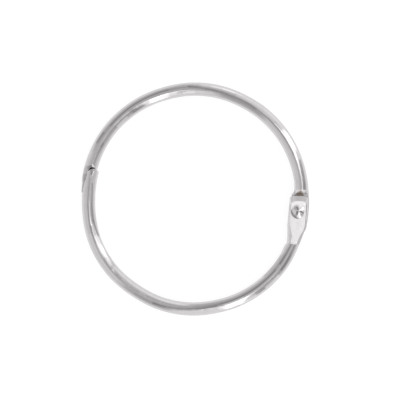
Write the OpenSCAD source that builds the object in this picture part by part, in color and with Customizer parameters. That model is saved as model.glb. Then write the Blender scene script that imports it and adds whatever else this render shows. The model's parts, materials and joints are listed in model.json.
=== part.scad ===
// Hinged binder ring: two bent wire halves, riveted together at the hinge and snapped shut at the
// closure. The ring lies flat, with its axis along +Z. The origin is the centre of the loop, halfway
// through the wire. The hinge is on the +X side and the closure on the -X side.

/* [Ring] */
// Clear span inside the ring, from the wire at the closure side to the fork
clear_span = 35; // [28:0.5:60]
// Diameter of the wire
wire_d = 2.4; // [2.3:0.05:2.7]
// How far the arc centre of each half stands from the middle of the ring
arc_offset = 0.45; // [0.3:0.05:0.6]

/* [Fork] */
// Angle of the pin below the middle of its own half's arc, in degrees
fork_angle = 5.6; // [4.5:0.1:6]
// Width of the fork, across both flanks
fork_w = 3.65; // [3.4:0.05:4]
// Thickness of the fork, over both ears
fork_t = 2.3; // [2.15:0.05:2.3]
// How far the pin stands inside the wire's centre line
pin_inset = 0.5; // [0.4:0.05:0.6]
// Bulge of the fork's rounded flanks
flank_bulge = 0.52; // [0.4:0.02:0.7]
// Length of the ears beyond the pin
ear_reach = 2.8; // [2.5:0.05:3]
// Length of the pressed flats behind the pin
flat_reach = 5.9; // [5.4:0.1:6.4]
// How far the end of the neck stands proud of the wire
neck_step = 0.06; // [0.04:0.01:0.1]
// Widening of the neck's radius for each millimetre towards the pin
neck_taper = 0.17; // [0.15:0.01:0.2]
// Lean of the neck, in degrees
neck_lean = 7.7; // [7:0.1:8.4]
// Width of the flat left between the pin's centre and the bevel
bevel_start = 1.86; // [1.7:0.02:2]
// Slope of the bevel on the end of each ear, in degrees
ear_bevel = 20; // [15:1:24]
// How far the ring opens, in degrees
open_angle = 110; // [95:1:115]

/* [Tongue] */
// Thickness of the flattened tongue
tongue_t = 0.8; // [0.7:0.05:0.9]
// Width of the tongue
tongue_w = 3.2; // [3:0.05:3.3]
// Play between the tongue and each ear
side_play = 0.05; // [0.03:0.01:0.08]
// Slope of the shoulder between the tongue and the round wire, in degrees
shoulder_slope = 45; // [40:1:50]
// Space between the ears' ends and the foot of the shoulder
mouth_gap = 0.3; // [0.25:0.05:0.5]

/* [Pin] */
// Diameter of the rivet's shank
pin_d = 1.5; // [1.3:0.05:1.6]
// Radial play of the shank in the tongue
pin_play = 0.06; // [0.03:0.01:0.1]
// Diameter of the rivet's heads
head_d = 2.35; // [2.1:0.05:2.5]
// Height of the peened head
head_h = 0.48; // [0.4:0.01:0.6]
// Height of the plain head below
foot_h = 0.36; // [0.3:0.01:0.5]
// Diameter of the flat on the plain head
foot_flat_d = 1.4; // [1.2:0.05:1.6]
// Turn of the three-pointed peening mark, in degrees
mark_turn = 116; // [0:1:119]
// Length of each point of the peening mark
mark_reach = 0.9; // [0.7:0.05:0.95]
// Depth of the peening mark below the top of the head
mark_depth = 0.2; // [0.12:0.01:0.25]

/* [Closure] */
// Angle of the nose above the middle of its own half's arc, in degrees
nose_angle = 15; // [12:0.5:17]
// Radius of the nose
nose_r = 1.15; // [1.1:0.01:1.2]
// How far the nose's centre stands inside the wire's centre line
nose_inset = 0.43; // [0.38:0.01:0.48]
// Gap over the crown of the nose
crown_gap = 0.25; // [0.2:0.01:0.3]
// Gap beside the head of the nose
head_gap = 0.1; // [0.08:0.01:0.12]
// Gap along the seam between the lip and the lower half
seam_gap = 0.04; // [0.03:0.01:0.06]
// Slope of the seam against the wire at the nose, in degrees
seam_slope = 3.5; // [3:0.1:4.5]
// Length of the lip below the nose's centre
lip_reach = 2.7; // [2.3:0.05:2.9]
// How far the head of the nose stands proud of the seam, so that the lip snaps over it
snap_depth = 0.1; // [0.08:0.01:0.12]

/* [Hidden] */
$fn = 96;

wire_r = wire_d / 2;
far = 12;
overlap = 0.05;

// One arc radius serves both halves. The clear span runs from the wire's inner side to the fork's
// inner flank, which leans by fork_angle.
lean = 1 / cos(fork_angle);
arc_r = (clear_span + wire_r + (pin_inset + fork_w / 2) * lean) / (1 + lean);
pin_radius = arc_r - pin_inset;

slot_t = tongue_t + 2 * side_play;
shoulder_foot = ear_reach + mouth_gap;
// The ears' corners are turned off about the pin, so that the shoulder passes them as it swings.
swing_room = 0.06;
ear_corner_r = shoulder_foot - swing_room;
// The slot is deep enough for the tongue's edge at full opening.
past_square = open_angle - 90;
slot_depth = (tongue_w / 2 + swing_room + fork_w / 2 * sin(past_square)) / cos(past_square);
// The flanks are arcs through the edges of the flats.
flank_r = (flank_bulge ^ 2 + (fork_t / 2) ^ 2) / (2 * flank_bulge);

// The angle along the lower arc, and the place of the wire there, at height y in the pin's frame.
function lower_angle(y) = asin(y / arc_r) - fork_angle;
function lower_wire_x(y) = sqrt(arc_r ^ 2 - y ^ 2) - pin_radius;
// The same for the upper arc, whose centre stands 2 * arc_offset higher.
upper_x = -2 * arc_offset * sin(fork_angle) - pin_radius;
upper_y = 2 * arc_offset * cos(fork_angle);
function upper_angle(y) = asin((y - upper_y) / arc_r) - fork_angle;
function upper_wire_x(y) = sqrt(arc_r ^ 2 - (y - upper_y) ^ 2) + upper_x;

// Where the seam stands at height y in the closure's frame.
function seam_x(y) = nose_inset - nose_r + snap_depth + y * tan(seam_slope);

nickel = [0.80, 0.79, 0.78];
bright_nickel = [0.86, 0.86, 0.86];

// The pin's frame: the origin on the pin's axis, +Y along the fork to its mouth, +X out of the ring.
module at_pin() {
    translate([0, -arc_offset, 0])
        rotate([0, 0, -fork_angle])
            translate([pin_radius, 0, 0])
                children();
}

// The closure's frame: the origin on the lower half's centre line beside the nose, +Y along the wire
// to the nose, +X into the ring.
module at_closure() {
    translate([0, -arc_offset, 0])
        rotate([0, 0, -nose_angle])
            translate([-arc_r, 0, 0])
                children();
}

// A stretch of the bent wire, from one angle to another, about an arc centre at height y.
module bent_wire(y, from, to) {
    translate([0, y, 0])
        rotate([0, 0, from])
            rotate_extrude(angle = to - from)
                translate([arc_r, 0])
                    circle(r = wire_r);
}

// A plan extruded through the whole thickness of the part.
module through() {
    linear_extrude(height = 2 * wire_d, center = true)
        children();
}

// Both faces of a shape drawn for the upper one.
module both_faces() {
    for (side = [0, 1])
        mirror([0, 0, side])
            children();
}

// ---- Fork half ----

// Half of the fork's section: a rounded flank on the +X side, and flat above and below.
module flank_section() {
    flank_centre = fork_w / 2 - flank_r;
    intersection() {
        translate([-far / 2, -fork_t / 2])
            square([far, fork_t]);
        union() {
            translate([-far / 2, -fork_t / 2])
                square([far / 2 + flank_centre, fork_t]);
            translate([flank_centre, 0])
                circle(r = flank_r);
        }
    }
}

// The pressed body. Its outer flank follows the wire's arc, its inner flank is straight, and both
// narrow down the neck.
module fork_body() {
    body_len = flat_reach + ear_reach + 1;
    intersection() {
        translate([-pin_radius, 0, 0])
            rotate([0, 0, -30])
                rotate_extrude(angle = 60)
                    translate([pin_radius, 0])
                        flank_section();
        translate([0, ear_reach + 1, 0])
            rotate([90, 0, 0])
                linear_extrude(height = body_len)
                    mirror([1, 0])
                        flank_section();
        translate([lower_wire_x(-flat_reach), -flat_reach, 0])
            rotate([-90, 0, -neck_lean])
                cylinder(r1 = wire_r + neck_step, r2 = wire_r + neck_step + neck_taper * body_len, h = body_len);
    }
}

// What lies beyond the ears: their end is square to the ring, and their corners are round.
module beyond_ears() {
    through()
        difference() {
            translate([-far / 2, 0])
                square([far, far]);
            intersection() {
                rotate(fork_angle)
                    translate([-far / 2, -far / 2])
                        square([far, far / 2 + ear_reach]);
                circle(r = ear_corner_r);
            }
        }
}

// The space over the bevel on the end of one ear, a cone about the pin's axis.
module over_bevel() {
    drop = wire_r;
    translate([0, 0, fork_t / 2 - drop])
        difference() {
            translate([-far / 2, 0, 0])
                cube([far, far, far]);
            cylinder(r1 = bevel_start + drop / tan(ear_bevel), r2 = bevel_start, h = drop);
            cylinder(r = bevel_start, h = far);
        }
}

// The plan of the lower half's end: a round nose over a neck that the seam cuts slantwise. The gaps
// stand over the nose's crown, beside its head and along the seam.
module nose_plan(crown, head, seam) {
    translate([nose_inset, crown - head])
        circle(r = nose_r + head);
    polygon([
        [seam_x(0) - seam, 0],
        [seam_x(-far) - seam, -far],
        [far, -far],
        [far, 0]
    ]);
}

module fork_half() {
    color(nickel)
        difference() {
            union() {
                difference() {
                    bent_wire(-arc_offset, 176 - nose_angle, 360 + lower_angle(-slot_depth - wire_r));
                    at_pin()
                        both_faces()
                            translate([-far / 2, -flat_reach, fork_t / 2])
                                cube([far, far, far]);
                }
                at_pin()
                    fork_body();
            }
            at_pin() {
                translate([-far / 2, -slot_depth, -slot_t / 2])
                    cube([far, far, slot_t]);
                cylinder(d = pin_d, h = far, center = true);
                beyond_ears();
                both_faces()
                    over_bevel();
            }
            at_closure()
                through()
                    difference() {
                        translate([-far / 2, -far / 2])
                            square([far, far]);
                        nose_plan(0, 0, 0);
                    }
        }
}

// ---- Tongue half ----

// The flattened tongue in plan: round about the pin, and drawn in to the wire's width at its shoulder.
module tongue_plan() {
    half = tongue_w / 2;
    neck_y = shoulder_foot + wire_r / 2;
    neck_half = sqrt(wire_r ^ 2 - (tongue_t / 2) ^ 2) - overlap;
    circle(r = half);
    polygon([
        [-half, 0],
        [half, 0],
        [half, ear_reach - wire_r / 4],
        [upper_wire_x(neck_y) + neck_half, neck_y],
        [upper_wire_x(neck_y) - neck_half, neck_y],
        [-half, ear_reach - wire_r / 4]
    ]);
}

// The space over the tongue and its sloping shoulder.
module over_tongue() {
    rise = wire_r;
    rotate([90, 0, 90 + fork_angle])
        linear_extrude(height = far, center = true)
            polygon([
                [-far, tongue_t / 2],
                [shoulder_foot, tongue_t / 2],
                [shoulder_foot + rise / tan(shoulder_slope), tongue_t / 2 + rise],
                [-far, tongue_t / 2 + rise]
            ]);
}

module tongue_half() {
    color(nickel)
        difference() {
            union() {
                difference() {
                    bent_wire(arc_offset, upper_angle(ear_reach - wire_r), 182);
                    at_closure()
                        through() {
                            nose_plan(crown_gap, head_gap, seam_gap);
                            translate([-far / 2, -far])
                                square([far, far - lip_reach]);
                        }
                    at_pin()
                        both_faces()
                            over_tongue();
                }
                at_pin()
                    linear_extrude(height = tongue_t, center = true)
                        tongue_plan();
            }
            at_pin()
                cylinder(r = pin_d / 2 + pin_play, h = far, center = true);
        }
}

// ---- Rivet ----

// Half of the peened head's section, drawn from its seat upwards.
module dome_section() {
    rim = 0.1;
    crown = head_h - rim;
    dome_r = (crown ^ 2 + (head_d / 2) ^ 2) / (2 * crown);
    square([head_d / 2, rim]);
    intersection() {
        translate([0, rim])
            square([head_d / 2, crown]);
        translate([0, head_h - dome_r])
            circle(r = dome_r);
    }
}

// Half of the plain head's section: a short cone with a flat face.
module foot_section() {
    rim = 0.1;
    polygon([
        [0, 0],
        [head_d / 2, 0],
        [head_d / 2, rim],
        [foot_flat_d / 2, foot_h],
        [0, foot_h]
    ]);
}

// The three-pointed mark that the peening tool leaves in the upper head.
module peening_mark() {
    groove_r = 0.34;
    groove_dip = 8;
    for (i = [0:2])
        rotate([0, 0, mark_turn + 120 * i])
            translate([0, 0, fork_t / 2 + head_h + groove_r - mark_depth])
                rotate([0, 90 + groove_dip, 0])
                    cylinder(r = groove_r, h = mark_reach);
}

module hinge_rivet() {
    color(bright_nickel)
        at_pin()
            difference() {
                union() {
                    cylinder(d = pin_d, h = fork_t + overlap, center = true);
                    translate([0, 0, fork_t / 2])
                        rotate_extrude()
                            dome_section();
                    mirror([0, 0, 1])
                        translate([0, 0, fork_t / 2])
                            rotate_extrude()
                                foot_section();
                }
                peening_mark();
            }
}

fork_half();
tongue_half();
hinge_rivet();
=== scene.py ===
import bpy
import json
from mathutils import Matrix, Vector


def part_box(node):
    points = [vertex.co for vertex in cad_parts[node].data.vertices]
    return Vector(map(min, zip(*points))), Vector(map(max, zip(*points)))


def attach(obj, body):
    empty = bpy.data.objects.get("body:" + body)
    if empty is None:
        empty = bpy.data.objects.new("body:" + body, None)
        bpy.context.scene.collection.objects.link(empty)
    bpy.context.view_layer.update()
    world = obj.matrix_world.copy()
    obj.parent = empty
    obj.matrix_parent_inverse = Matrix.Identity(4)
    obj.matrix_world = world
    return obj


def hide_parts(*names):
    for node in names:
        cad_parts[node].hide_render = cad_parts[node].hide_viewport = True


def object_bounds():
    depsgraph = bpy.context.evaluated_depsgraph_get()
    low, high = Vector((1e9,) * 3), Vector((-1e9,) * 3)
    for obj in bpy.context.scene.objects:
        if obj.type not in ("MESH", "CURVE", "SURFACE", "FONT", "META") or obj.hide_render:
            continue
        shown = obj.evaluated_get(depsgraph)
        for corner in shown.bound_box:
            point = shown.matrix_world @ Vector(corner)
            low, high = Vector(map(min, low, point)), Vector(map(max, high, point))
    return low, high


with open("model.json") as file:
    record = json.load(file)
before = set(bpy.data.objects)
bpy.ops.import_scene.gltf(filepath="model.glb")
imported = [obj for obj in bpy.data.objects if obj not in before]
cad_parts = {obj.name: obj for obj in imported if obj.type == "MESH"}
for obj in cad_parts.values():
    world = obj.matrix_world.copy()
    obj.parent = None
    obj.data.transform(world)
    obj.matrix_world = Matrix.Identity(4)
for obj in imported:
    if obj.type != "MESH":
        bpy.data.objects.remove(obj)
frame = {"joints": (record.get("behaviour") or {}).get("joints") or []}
cad_box = [list(corner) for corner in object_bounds()]

import json
import math

import bmesh
import bpy
import numpy as np
from mathutils import Matrix

MM = 0.001
scene = bpy.context.scene

# %% [markdown]
# ## Sizes from the drawing
# The halves are bent to one radius, and each half's centre stands a little off the middle of the
# ring, so their ends pass each other at the closure. The pin stands just inside the lower wire's
# centre line. Naming the few numbers that carry the shape once keeps every later cell readable.
# %% Sizes of the ring
CLEAR_SPAN = 35.0
WIRE_R = 1.2
CENTRE_DROP = 0.45
FORK_ANGLE = math.radians(5.6)
FORK_W = 3.65
FORK_T = 2.3
PIN_INSET = 0.5
NOSE_ANGLE = math.radians(15)
lean = 1 / math.cos(FORK_ANGLE)
ARC_R = (CLEAR_SPAN + WIRE_R + (PIN_INSET + FORK_W / 2) * lean) / (1 + lean)
PIN_RADIUS = ARC_R - PIN_INSET
PIN_X = PIN_RADIUS * math.cos(FORK_ANGLE)
PIN_Y = -CENTRE_DROP - PIN_RADIUS * math.sin(FORK_ANGLE)
# For each half: its centre's height, the way it bulges from there, and its middle's angle.
HALVES = {"lower": (-CENTRE_DROP, -1, 270), "upper": (CENTRE_DROP, 1, 90)}
pin_joint = frame["joints"][0]["pos_m"]
print(f"arc radius {ARC_R:.3f}, pin at {PIN_X:.3f}, {PIN_Y:.3f}")
print(f"the joint says {pin_joint[0] / MM:.3f}, {pin_joint[1] / MM:.3f}")

# %% [markdown]
# ## A bench for nodes
# Geometry and materials are both node trees. Adding each node by hand is long-winded, so one small
# class holds an output socket and turns ordinary arithmetic into Math nodes, and another adds any
# other node: its settings first, then the values or links of its sockets.
# %% Signals
def of_two(operation):
    return lambda self, other: self.math(operation, self, other)


def of_one(operation):
    return lambda self: self.math(operation, self)


class Signal:
    """An output socket. Arithmetic on it adds Math nodes to its tree."""

    def __init__(self, bench, socket):
        self.bench, self.socket = bench, socket

    def math(self, operation, *terms):
        return self.bench.node("ShaderNodeMath", {"operation": operation}, dict(enumerate(terms)))

    __add__ = __radd__ = of_two("ADD")
    __mul__ = __rmul__ = of_two("MULTIPLY")
    __sub__, __truediv__ = of_two("SUBTRACT"), of_two("DIVIDE")
    at_least, at_most = of_two("MAXIMUM"), of_two("MINIMUM")
    size, root = of_one("ABSOLUTE"), of_one("SQRT")
    exp, arccos = of_one("EXPONENT"), of_one("ARCCOSINE")

    def __rsub__(self, other):
        return self.math("SUBTRACT", other, self)

    def __rtruediv__(self, other):
        return self.math("DIVIDE", other, self)

    def __neg__(self):
        return self * -1.0

    def rise(self, low, high):
        """0 below low, 1 above high, with a smooth slope between. Low may be the larger."""
        return self.bench.node(
            "ShaderNodeMapRange",
            {"interpolation_type": "SMOOTHSTEP"},
            {"Value": self, "From Min": low, "From Max": high},
        )


# %% The bench
class Bench:
    """A node tree, and the one way that nodes are added to it."""

    def __init__(self, tree):
        self.tree = tree

    def node(self, kind, settings=None, sockets=None, out=0):
        made = self.tree.nodes.new(kind)
        for name, value in (settings or {}).items():
            setattr(made, name, value)
        for name, value in (sockets or {}).items():
            if isinstance(value, Signal):
                self.tree.links.new(value.socket, made.inputs[name])
            else:
                made.inputs[name].default_value = value
        return Signal(self, made.outputs[out]) if made.outputs else made

    def also(self, signal, out):
        """Another output of the node that signal comes from."""
        return Signal(self, signal.socket.node.outputs[out])

    def split(self, vector):
        x = self.node("ShaderNodeSeparateXYZ", None, {0: vector})
        return x, self.also(x, 1), self.also(x, 2)

    def join(self, x, y, z):
        return self.node("ShaderNodeCombineXYZ", None, {0: x, 1: y, 2: z})


# %% [markdown]
# ## Bending the wire
# A real half starts as a straight cut of round wire that is rolled round a drum. In Blender that is
# a profile carried along a curve: Geometry Nodes draw the arc, nudge it where the real bend wavers,
# and sweep a circle along it. One function builds such a tree for each half, with that half's
# wavers built in and the rest given as inputs.
# %% A tree that bends wire
BEND_INPUTS = {
    "Arc radius": "NodeSocketFloat",
    "Centre height": "NodeSocketFloat",
    "Wire radius": "NodeSocketFloat",
    "From": "NodeSocketFloat",
    "Sweep": "NodeSocketFloat",
    "Steps along": "NodeSocketInt",
    "Steps around": "NodeSocketInt",
    "Finish": "NodeSocketMaterial",
}
# Where the rolled bend wavers: the angle, how far inward, and over what angle.
WAVERS = {
    "lower": [(181.0, 0.26, 17.0), (236.0, 0.11, 13.0), (282.0, 0.07, 11.0), (338.0, 0.16, 8.0)],
    "upper": [(142.0, -0.06, 14.0), (105.0, 0.06, 9.0), (62.0, 0.06, 10.0), (176.0, 0.18, 5.0)],
}


def wire_tree(name, wavers):
    tree = bpy.data.node_groups.new(name, "GeometryNodeTree")
    face = tree.interface
    keys = {
        label: face.new_socket(label, in_out="INPUT", socket_type=kind).identifier
        for label, kind in BEND_INPUTS.items()
    }
    face.new_socket("Geometry", in_out="OUTPUT", socket_type="NodeSocketGeometry")
    bench = Bench(tree)
    given = bench.node("NodeGroupInput")
    part = {label: bench.also(given, label) for label in BEND_INPUTS}
    arc = bench.node(
        "GeometryNodeCurveArc",
        {"mode": "RADIUS"},
        {
            "Resolution": part["Steps along"],
            "Radius": part["Arc radius"],
            "Start Angle": part["From"],
            "Sweep Angle": part["Sweep"],
        },
    )
    x, y, _ = bench.split(bench.node("GeometryNodeInputPosition"))
    reach = (x * x + y * y).root()
    inward = 0.0
    for angle, depth, width in wavers:
        a = math.radians(angle)
        across = (x * math.cos(a) + y * math.sin(a)) / reach
        turn = across.at_most(1.0).arccos() / math.radians(width)
        inward = (-(turn * turn)).exp() * (depth * MM) + inward
    move = -(inward / reach)
    offset = bench.join(x * move, y * move, 0.0)
    arc = bench.node("GeometryNodeSetPosition", None, {"Geometry": arc, "Offset": offset})
    lift = bench.join(0.0, part["Centre height"], 0.0)
    arc = bench.node("GeometryNodeTransform", None, {"Geometry": arc, "Translation": lift})
    profile = bench.node(
        "GeometryNodeCurvePrimitiveCircle",
        None,
        {"Resolution": part["Steps around"], "Radius": part["Wire radius"]},
    )
    wire = bench.node(
        "GeometryNodeCurveToMesh",
        None,
        {"Curve": arc, "Profile Curve": profile, "Fill Caps": False},
    )
    wire = bench.node("GeometryNodeRealizeInstances", None, {"Geometry": wire})
    finish = {"Geometry": wire, "Material": part["Finish"]}
    wire = bench.node("GeometryNodeSetMaterial", None, finish)
    bench.node("NodeGroupOutput", None, {"Geometry": wire})
    return tree, keys


# %% A bent length as plain corners and faces
def bend_wire(name, wavers, inputs):
    """The swept wire's corners in millimetres, and its faces."""
    tree, keys = wire_tree(name, wavers)
    holder = bpy.data.objects.new(name, bpy.data.meshes.new(name))
    scene.collection.objects.link(holder)
    bender = holder.modifiers.new(name, "NODES")
    bender.node_group = tree
    for label, value in inputs.items():
        bender[keys[label]] = value
    ready = holder.evaluated_get(bpy.context.evaluated_depsgraph_get())
    mesh = bpy.data.meshes.new_from_object(ready)
    points = np.array([v.co for v in mesh.vertices], float) / MM
    faces = [tuple(p.vertices) for p in mesh.polygons]
    bpy.data.objects.remove(holder)
    bpy.data.meshes.remove(mesh)
    return points, faces


# %% [markdown]
# ## Pressing the ends
# The fork, the tongue, the nose and the lip are squeezed and cut in dies, so they have flats, steps
# and slots with small rounded edges. Modelling such edges face by face is slow. Instead each end is
# written as a distance: how far a point is outside the metal, in millimetres. The larger of two
# distances is what two shapes share and the smaller is both together, and a soft version of either
# rounds the edge between them.
# %% Distances and soft edges
def meet(a, b, soft):
    """What two shapes share, with the edge between them rounded off."""
    h = np.maximum(soft - np.abs(a - b), 0) / soft
    return np.maximum(a, b) + h * h * soft / 4


def weld(a, b, soft):
    """Two shapes together, with the corner between them filled in."""
    return -meet(-a, -b, soft)


def cut(a, b, soft):
    """The first shape without the second."""
    return meet(a, -b, soft)


def glide(x, low, high):
    t = np.clip((x - low) / (high - low), 0, 1)
    return t * t * (3 - 2 * t)


def pin_frame(x, y):
    """Millimetres from the pin: out of the ring, and along the fork towards its mouth."""
    c, s = math.cos(FORK_ANGLE), math.sin(FORK_ANGLE)
    return c * x - s * (y + CENTRE_DROP) - PIN_RADIUS, s * x + c * (y + CENTRE_DROP)


def nose_frame(x, y):
    """Millimetres from the nose: into the ring, and along the wire to the nose's crown."""
    c, s = math.cos(NOSE_ANGLE), math.sin(NOSE_ANGLE)
    return c * x - s * (y + CENTRE_DROP) + ARC_R, s * x + c * (y + CENTRE_DROP)


def round_wire(x, y, z, half, swell=0.0, widen=0.0):
    height = HALVES[half][0]
    dy = y - height
    angle = np.degrees(np.arctan2(dy, x))
    inward = 0
    for at, depth, width in WAVERS[half]:
        turn = (angle - at + 180) % 360 - 180
        inward = inward + depth * np.exp(-((turn / width) ** 2))
    off = np.maximum(np.abs(np.hypot(x, dy) - ARC_R + inward) - widen, 0)
    return np.hypot(off, z) - WIRE_R - swell


middle = round_wire(0.0, CENTRE_DROP + ARC_R, 0.0, "upper")
print(f"at its top, the upper wire's centre line lies {-middle:.2f} mm inside the metal")

# %% [markdown]
# ### The fork
# The lower wire's end is pressed into a body with flat faces and rounded flanks, wider than the
# wire, which narrows into it down a neck. A slot splits it into two ears, and each ear's end is
# bevelled. Each step of the press is a line or two here, in the order of a toolmaker's cuts.
# %% The fork's sizes, and its body
FLAT_REACH = 5.9
HEEL = FLAT_REACH - 0.28
EAR_REACH = 2.85
EAR_CORNER_R = 3.04
EAR_HOLE_R = 0.76
SLOT_T = 0.9
EDGE = 0.09
NECK_LEAN = math.radians(7.7)
# The neck's half width at the heel, what it gains on the way, and what more from a place on.
HEEL_HALF, NECK_GAIN, NECK_FLARE, FLARE_FROM = 1.02, 0.13, 0.17, 1.4
# The bevel on the ears' ends: where it starts, its slope, and that slope's cosine.
BEVEL_FROM, BEVEL_SLOPE, BEVEL_COSINE = 1.86, math.tan(math.radians(20)), 0.94
# The die goes a little deeper beyond this place, towards the flats' far end.
DIP_FROM, DIP_SLOPE = -3.9, 0.035
# Along the fork from the pin: how far its inner flank is tucked in, and how far each flank bulges.
INNER_TUCK = [-5.0, -4.2, -3.3, -2.5], [0.25, 0.19, 0.1, 0]
INNER_BULGE = [-5.6, -4.5, -4.1, -2.9, -1.6], [0.9, 0.85, 0.72, 0.51, 0.31]
OUTER_BULGE = [-2.5, 1.0], [0.46, 0.72]
NECK_BULGE = [0.5, 3.0], [0.53, 0.33]
open_past_square = math.radians(20)
slot_reach = 1.66 + FORK_W / 2 * math.sin(open_past_square)
SLOT_DEPTH = slot_reach / math.cos(open_past_square)
shoulder_x = math.sqrt(ARC_R**2 - FLAT_REACH**2) - PIN_RADIUS


def flank(side, z, bulge):
    """A side that stands half the fork's width out, and is rounded out by a bulge."""
    radius = (bulge**2 + (FORK_T / 2) ** 2) / (2 * bulge)
    return np.hypot(np.maximum(side - FORK_W / 2 + radius, 0), z) - radius


def fork_body(x, y, z, inner, pressed):
    """The pressed body, from the neck to the ears' ends, without its slot and hole."""
    px, py = pin_frame(x, y)
    lean_x, lean_y = math.sin(NECK_LEAN), math.cos(NECK_LEAN)
    along = (px - shoulder_x) * lean_x + (py + HEEL) * lean_y
    aside = (px - shoulder_x) * lean_y - (py + HEEL) * lean_x
    half = HEEL_HALF + NECK_GAIN * along + NECK_FLARE * np.maximum(along - FLARE_FROM, 0)
    neck = flank(aside - half + FORK_W / 2, z, np.interp(along, *NECK_BULGE))
    outer = flank(np.hypot(x, y + CENTRE_DROP) - PIN_RADIUS, z, np.interp(py, *OUTER_BULGE))
    body = meet(meet(outer, inner, 0.1), meet(neck, -along, 0.1), 0.1)
    return meet(body, pressed, EDGE)


# %% The fork, cut step by step
def fork_shape(x, y, z):
    px, py = pin_frame(x, y)
    pressed = np.abs(z) - FORK_T / 2 + DIP_SLOPE * np.maximum(DIP_FROM - py, 0)
    run_out = 0.6 * np.maximum(-HEEL - py, 0)
    inner = flank(np.interp(py, *INNER_TUCK) - px, z, np.interp(py, *INNER_BULGE))
    squeezed = np.where(py > -HEEL - 1.2, np.maximum(pressed, inner), pressed)
    wire = meet(round_wire(x, y, z, "lower"), squeezed - run_out, 0.05)
    fork = weld(wire, fork_body(x, y, z, inner, pressed), 0.1)
    out = np.hypot(0.8 * px, np.maximum(py, 0))
    bevel = (np.abs(z) - FORK_T / 2 + (out - BEVEL_FROM) * BEVEL_SLOPE) * BEVEL_COSINE
    fork = meet(fork, np.where(py > 0, bevel, -1.0), 0.06)
    fork = meet(fork, np.where(py > 0, np.hypot(px, py) - EAR_CORNER_R, -1.0), 0.2)
    fork = meet(fork, y - PIN_Y - EAR_REACH, 0.1)
    fork = cut(fork, meet(np.abs(z) - SLOT_T / 2, -SLOT_DEPTH - py, 0.08), 0.07)
    return cut(fork, np.hypot(px, py) - EAR_HOLE_R, 0.05)


print(f"slot {SLOT_T} mm wide, cut to {SLOT_DEPTH:.2f} mm behind the pin")

# %% [markdown]
# ### The nose and its lip
# At the closure the lower wire ends in a round nose, cut away on its outer side, and the upper wire
# ends in a lip that fills the cut and cups the nose. Both cuts lean a little, so nothing shines
# straight through the seam. The lip is cut with the nose itself, so the two always fit.
# %% The closure's sizes
NOSE_R = 1.1
NOSE_INSET = 0.5
LIP_GAP = 0.04
LIP_TIP = -3.7
SEAM_LEAN = 0.05
SEAM_ALONG = [-4.4, -3.6, -2.9, -2.2, -1.4, -0.5, 0.0]
SEAM_ACROSS = [-0.5, -0.6, -0.655, -0.67, -0.57, -0.52, -0.55]
# Where opening and closing has rubbed the lip's edge round.
RUBBED_X, RUBBED_Y = -18.08, 5.82


# %% The nose and the lip as distances
def seam_at(py, z):
    """Where the seam stands, across the wire, at a place along it and a height."""
    return np.interp(py, SEAM_ALONG, SEAM_ACROSS) - SEAM_LEAN * z


def nose_plan(x, y, z):
    """A place in the nose's frame, the head's distance, and how far under the nose's top it is."""
    px, py = nose_frame(x, y)
    head = np.hypot(px - NOSE_INSET, py + 0.03) - NOSE_R
    return px, py, head, glide(z, 0.5, 0.0) * glide(py, 0.2, 0.8)


def crown_gap(px):
    """How far the lip's pocket stands off the nose's crown: widest at the outer side."""
    return 0.04 + 0.21 * np.exp(-((px / 0.37) ** 2))


def nose_shape(x, y, z):
    swell = 0.06 * glide(nose_frame(x, y)[1], -5.2, -1.0)
    wire = round_wire(x, y, z, "lower", swell)
    px, py, head, under = nose_plan(x, y, z)
    head = head - under * (crown_gap(px) - 0.05) + 0.06 * glide(z, 0.0, 0.5) * glide(py, 0.6, 0.9)
    behind = np.maximum(py, seam_at(py, z) - px)
    nose = weld(head, behind, 0.12)
    return meet(wire, nose, 0.06 + 0.06 * glide(py, -0.2, 0.8))


def lip_shape(x, y, z):
    wire = round_wire(x, y, z, "upper")
    px, py, head, _ = nose_plan(x, y, z)
    open_side = np.maximum(py, seam_at(py, z) - LIP_GAP - px)
    rubbed = np.exp(-((x - RUBBED_X) ** 2 + (y - RUBBED_Y) ** 2) / 0.1)
    lip = cut(wire, weld(head - crown_gap(px), open_side, 0.05), 0.04 + 0.32 * rubbed)
    lip = cut(lip, nose_shape(x, y, z) - LIP_GAP, 0.12)
    return meet(lip, LIP_TIP - py, 0.12)


print(f"the lip stands {LIP_GAP} mm off the nose, and {crown_gap(0.0):.2f} mm at the crown")

# %% [markdown]
# ### The tongue
# The upper wire's other end is struck flat and wide between sloping dies, which leaves a ridged
# shoulder where the round wire runs down to the thin tongue. A plate with a rounded end is the
# tongue, and welding it to the struck wire makes the shoulder.
# %% The tongue's shape
TONGUE_T = 0.8
TONGUE_W = 3.2
TONGUE_HOLE_R = 0.81
SHOULDER_FOOT = 3.1
# The tongue narrows to its neck between these places above the pin.
NECK_FROM, NECK_TO, NECK_HALF = 2.5, 3.7, 1.08


def tongue_shape(x, y, z):
    px, py = pin_frame(x, y)
    upset = 0.08 * np.exp(-(((y - 1.1) / 1.5) ** 2))
    wire = round_wire(x + upset, y, z, "upper", 0.0, upset)
    above = y - PIN_Y - SHOULDER_FOOT
    slope = np.abs(z) - TONGUE_T / 2 - np.maximum(above, 0)
    wire = meet(wire, slope * np.where(above > 0, 0.707, 1), 0.09)
    wire = meet(wire, 1.6 - py, 0.1)
    middle = np.sqrt(np.maximum(ARC_R**2 - (y - CENTRE_DROP) ** 2, 1)) - x
    narrow = np.interp(py, [NECK_FROM, NECK_TO], [TONGUE_W / 2, NECK_HALF])
    narrow = narrow + np.where(px < 0, 0.24 * glide(py, NECK_FROM, 3.0), 0)
    shift = glide(py, NECK_FROM, NECK_TO)
    side = np.abs(np.where(py > 0, -shift * middle + (1 - shift) * px, 0)) - narrow
    plan = np.where(py > 0, side, np.hypot(px, py) - TONGUE_W / 2)
    plate = meet(meet(plan, py - 3.8, 0.1), np.abs(z) - TONGUE_T / 2, 0.1)
    return cut(weld(wire, plate, 0.08), np.hypot(px, py) - TONGUE_HOLE_R, 0.05)


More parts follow.
